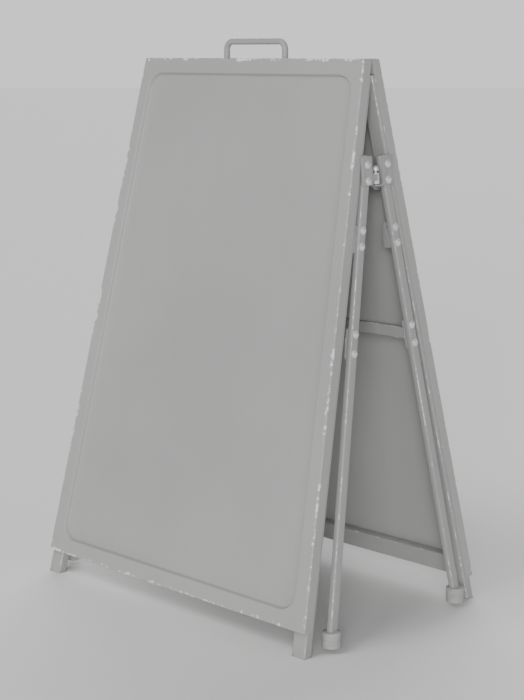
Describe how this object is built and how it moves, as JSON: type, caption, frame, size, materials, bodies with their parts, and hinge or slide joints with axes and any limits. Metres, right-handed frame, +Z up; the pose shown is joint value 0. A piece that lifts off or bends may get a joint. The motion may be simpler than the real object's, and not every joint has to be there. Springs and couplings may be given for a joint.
{
  "type": "sandwich board",
  "caption": "Folding pavement sandwich board: pressed steel panels on tapered tube frames, braced inner legs on a shared hinge rod, a looped carrying handle and drop-pin locks.",
  "frame": {"origin": "middle of the open board's footprint, on the floor", "axes": "+X along the panels' width, towards the board's right side; -Y out of the front panel; +Z up"},
  "size_m": [0.6514, 0.4066, 0.91],
  "materials": {
    "panel_coat": "light grey powder coat, fine orange peel, matte",
    "frame_coat": "light grey powder coat, matte",
    "zinc_steel": "zinc plated, satin",
    "plug_plastic": "moulded grey polyethylene",
    "cap_rubber": "grey rubber, matte",
    "bush_nylon": "natural nylon"
  },
  "bodies": {
    "front_half": {"front_sheet": "panel_coat", "front_left_stile": "frame_coat", "front_right_stile": "frame_coat", "front_top_rail": "frame_coat", "front_bottom_rail": "frame_coat", "front_leg_plugs": "plug_plastic", "front_left_inner_leg": "frame_coat", "front_right_inner_leg": "frame_coat", "front_left_foot_cap": "cap_rubber", "front_right_foot_cap": "cap_rubber", "front_crossbar": "frame_coat", "front_standoffs": "frame_coat", "front_left_lug": "frame_coat", "front_right_lug": "frame_coat", "front_left_lock_plate": "frame_coat", "front_right_lock_plate": "frame_coat", "left_lock_barrel": "zinc_steel", "right_lock_barrel": "zinc_steel", "front_plate_bolts": "zinc_steel", "front_frame_bolts": "zinc_steel", "hinge_rod": "zinc_steel", "rod_collars": "zinc_steel", "handle": "frame_coat"},
    "back_half": {"back_sheet": "panel_coat", "back_left_stile": "frame_coat", "back_right_stile": "frame_coat", "back_top_rail": "frame_coat", "back_bottom_rail": "frame_coat", "back_leg_plugs": "plug_plastic", "back_left_inner_leg": "frame_coat", "back_right_inner_leg": "frame_coat", "back_left_foot_cap": "cap_rubber", "back_right_foot_cap": "cap_rubber", "back_crossbar": "frame_coat", "back_standoffs": "frame_coat", "back_left_lug": "frame_coat", "back_right_lug": "frame_coat", "back_left_lock_plate": "frame_coat", "back_right_lock_plate": "frame_coat", "rod_bushes": "bush_nylon", "back_plate_bolts": "zinc_steel", "back_frame_bolts": "zinc_steel"},
    "left_lock": {"left_lock_pin": "zinc_steel"},
    "right_lock": {"right_lock_pin": "zinc_steel"}
  },
  "joints": [
    {"name": "fold", "type": "hinge", "parent": "front_half", "child": "back_half", "pos_m": [0, 0, 0.701], "axis": [-1, 0, 0], "range_deg": [0, 21.5]},
    {"name": "left_pin_slide", "type": "slide", "parent": "front_half", "child": "left_lock", "axis": [0.0811, 0, 0.9967], "range_m": [-0.003, 0]},
    {"name": "right_pin_slide", "type": "slide", "parent": "front_half", "child": "right_lock", "axis": [-0.0811, 0, 0.9967], "range_m": [-0.003, 0]}
  ]
}
